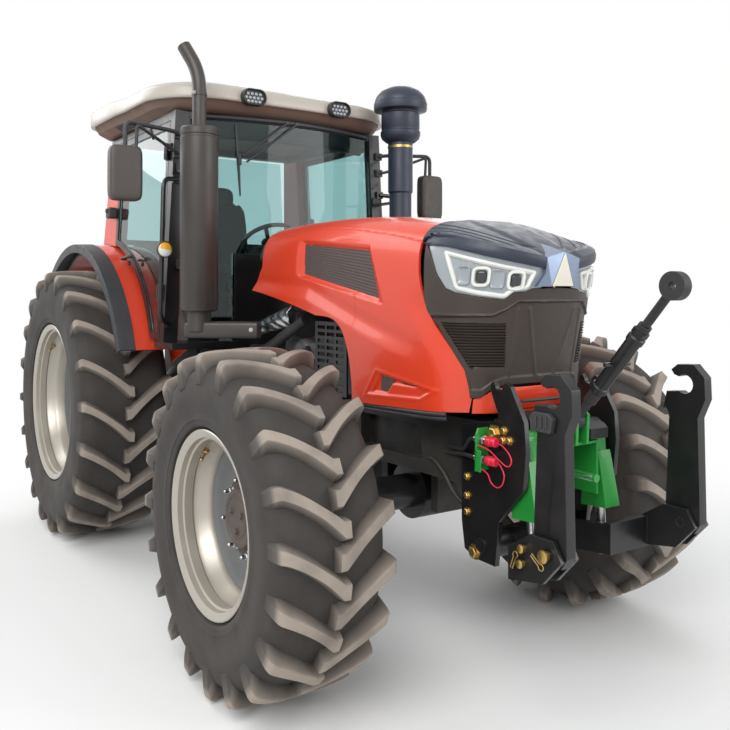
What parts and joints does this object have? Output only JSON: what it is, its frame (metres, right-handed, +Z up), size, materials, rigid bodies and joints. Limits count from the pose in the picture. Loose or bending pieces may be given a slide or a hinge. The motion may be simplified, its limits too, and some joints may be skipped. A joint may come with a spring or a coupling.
{
  "type": "farm tractor",
  "caption": "Four-wheel-drive farm tractor with a glazed cab, lifting hood, silencer and intake stacks, lugged tyres, front linkage with folded hooks and rear linkage.",
  "frame": {"origin": "middle of the box on the ground", "axes": "+X forwards, +Y to the left, +Z up"},
  "size_m": [5.6152, 2.56, 3.3042],
  "materials": {
    "red": "gloss paint",
    "black": "satin paint",
    "iron": "painted casting",
    "engine": "painted casting",
    "steel": "ground",
    "rim": "silver paint",
    "tyre": "dusty rubber",
    "rubber": "matt",
    "roof": "gel coat",
    "glass": "tinted",
    "seat": "woven",
    "exhaust": "heat-proof paint",
    "lens": "amber",
    "lens_clear": "clear",
    "chrome": "bright",
    "grille": "mesh",
    "green": "gloss paint"
  },
  "bodies": {
    "chassis": {"front_frame": "iron", "radiator": "iron", "engine": "engine", "engine_screens": "black", "gearbox": "iron", "rear_axle": "iron", "front_axle": "black", "fuel_tank": "black", "steps": "iron", "cab_frame": "black", "rear_posts": "red", "roof": "roof", "windscreen": "glass", "rear_window": "glass", "fenders": "red", "fender_flares": "rubber", "seat": "seat", "controls": "black", "steering_wheel": "black", "exhaust": "exhaust", "intake_stack": "black", "mirrors": "black", "handrails": "black", "lamps": "lens", "front_panel": "red", "hitch_frame": "black", "pto_guard": "green", "couplers": "green", "drawbar": "iron"},
    "hood_body": {"hood": "red", "hood_vents": "black", "hood_cap": "black", "grille": "grille", "headlamps": "lens_clear", "nose_trim": "chrome"},
    "knuckle_right_body": {"knuckle_right": "black"},
    "knuckle_left_body": {"knuckle_left": "black"},
    "steering_rod_body": {"steering_rod": "steel"},
    "wheel_front_right": {"rim_front_right": "rim", "tyre_front_right": "tyre"},
    "wheel_front_left": {"rim_front_left": "rim", "tyre_front_left": "tyre"},
    "wheel_rear_right": {"rim_rear_right": "rim", "tyre_rear_right": "tyre"},
    "wheel_rear_left": {"rim_rear_left": "rim", "tyre_rear_left": "tyre"},
    "door_right": {"door_frame_right": "black", "door_glass_right": "glass"},
    "door_left": {"door_frame_left": "black", "door_glass_left": "glass"},
    "front_lift": {"lift_arms": "black"},
    "cylinder_barrels": {"lift_barrels": "green"},
    "cylinder_rods": {"lift_rods": "steel"},
    "front_top_link": {"top_link": "iron"},
    "claw_right_body": {"claw_right": "black"},
    "claw_left_body": {"claw_left": "black"},
    "rear_lower_links": {"rear_links": "iron"},
    "rear_arms": {"rear_lift_arms": "iron"},
    "rear_rods": {"rear_lift_rods": "iron"}
  },
  "joints": [
    {"name": "steer_right", "type": "hinge", "parent": "chassis", "child": "knuckle_right_body", "pos_m": [1.33201, -0.79, 0.755], "axis": [0, 0, 1], "range_deg": [-35, 35]},
    {"name": "steer_left", "type": "hinge", "parent": "chassis", "child": "knuckle_left_body", "pos_m": [1.33201, 0.79, 0.755], "axis": [0, 0, 1], "range_deg": [-35, 35]},
    {"name": "steer_rod_slide", "type": "slide", "parent": "chassis", "child": "steering_rod_body", "axis": [0, -1, 0], "range_m": [-0.14, 0.14]},
    {"name": "roll_front_right", "type": "hinge", "parent": "knuckle_right_body", "child": "wheel_front_right", "pos_m": [1.33201, -1.02, 0.755], "axis": [0, 1, 0], "continuous": true},
    {"name": "roll_front_left", "type": "hinge", "parent": "knuckle_left_body", "child": "wheel_front_left", "pos_m": [1.33201, 1.02, 0.755], "axis": [0, 1, 0], "continuous": true},
    {"name": "roll_rear_right", "type": "hinge", "parent": "chassis", "child": "wheel_rear_right", "pos_m": [-1.52799, -0.94, 0.955], "axis": [0, 1, 0], "continuous": true},
    {"name": "roll_rear_left", "type": "hinge", "parent": "chassis", "child": "wheel_rear_left", "pos_m": [-1.52799, 0.94, 0.955], "axis": [0, 1, 0], "continuous": true},
    {"name": "hood_lift", "type": "hinge", "parent": "chassis", "child": "hood_body", "pos_m": [0.19201, 0, 2.05], "axis": [0, -1, 0], "range_deg": [0, 50]},
    {"name": "door_right_swing", "type": "hinge", "parent": "chassis", "child": "door_right", "pos_m": [-0.30299, -0.87797, 1.44097], "axis": [0, 0.0541, 0.9985], "range_deg": [0, 70]},
    {"name": "door_left_swing", "type": "hinge", "parent": "chassis", "child": "door_left", "pos_m": [-0.30299, 0.87797, 1.44097], "axis": [0, 0.0541, -0.9985], "range_deg": [0, 70]},
    {"name": "front_lift_turn", "type": "hinge", "parent": "chassis", "child": "front_lift", "pos_m": [2.02201, 0, 0.68], "axis": [0, -1, 0], "range_deg": [-35, 10]},
    {"name": "cylinder_swing", "type": "hinge", "parent": "chassis", "child": "cylinder_barrels", "pos_m": [2.21201, 0, 1.15], "axis": [0, -1, 0], "range_deg": [-25, 12]},
    {"name": "cylinder_slide", "type": "slide", "parent": "cylinder_barrels", "child": "cylinder_rods", "axis": [0.0712, 0, -0.9975], "range_m": [-0.06, 0.18]},
    {"name": "claw_right_fold", "type": "hinge", "parent": "front_lift", "child": "claw_right_body", "pos_m": [2.53201, -0.4, 0.8], "axis": [0, 1, 0], "range_deg": [0, 80]},
    {"name": "claw_left_fold", "type": "hinge", "parent": "front_lift", "child": "claw_left_body", "pos_m": [2.53201, 0.4, 0.8], "axis": [0, 1, 0], "range_deg": [0, 80]},
    {"name": "top_link_swing", "type": "hinge", "parent": "chassis", "child": "front_top_link", "pos_m": [2.27701, 0, 1.22], "axis": [0, -1, 0], "range_deg": [-75, 10]},
    {"name": "rear_links_turn", "type": "hinge", "parent": "chassis", "child": "rear_lower_links", "pos_m": [-1.80799, 0, 0.56], "axis": [0, 1, 0], "range_deg": [-12, 25]},
    {"name": "rear_arms_turn", "type": "hinge", "parent": "chassis", "child": "rear_arms", "pos_m": [-1.70799, 0, 1.36], "axis": [0, 1, 0], "range_deg": [-20, 40]},
    {"name": "rear_rods_turn", "type": "hinge", "parent": "rear_arms", "child": "rear_rods", "pos_m": [-2.10191, 0, 1.29054], "axis": [0, 1, 0], "range_deg": [-40, 20]}
  ],
  "couplings": [
    {"joint": "steer_left", "follows": "steer_right", "ratio": 1},
    {"joint": "steer_rod_slide", "follows": "steer_right", "m_per_rad": 0.20188},
    {"joint": "cylinder_swing", "follows": "front_lift_turn", "ratio": 0.1421},
    {"joint": "cylinder_slide", "follows": "front_lift_turn", "m_per_rad": -0.20985},
    {"joint": "rear_arms_turn", "follows": "rear_links_turn", "ratio": 1.0686},
    {"joint": "rear_rods_turn", "follows": "rear_links_turn", "ratio": -1.21}
  ]
}
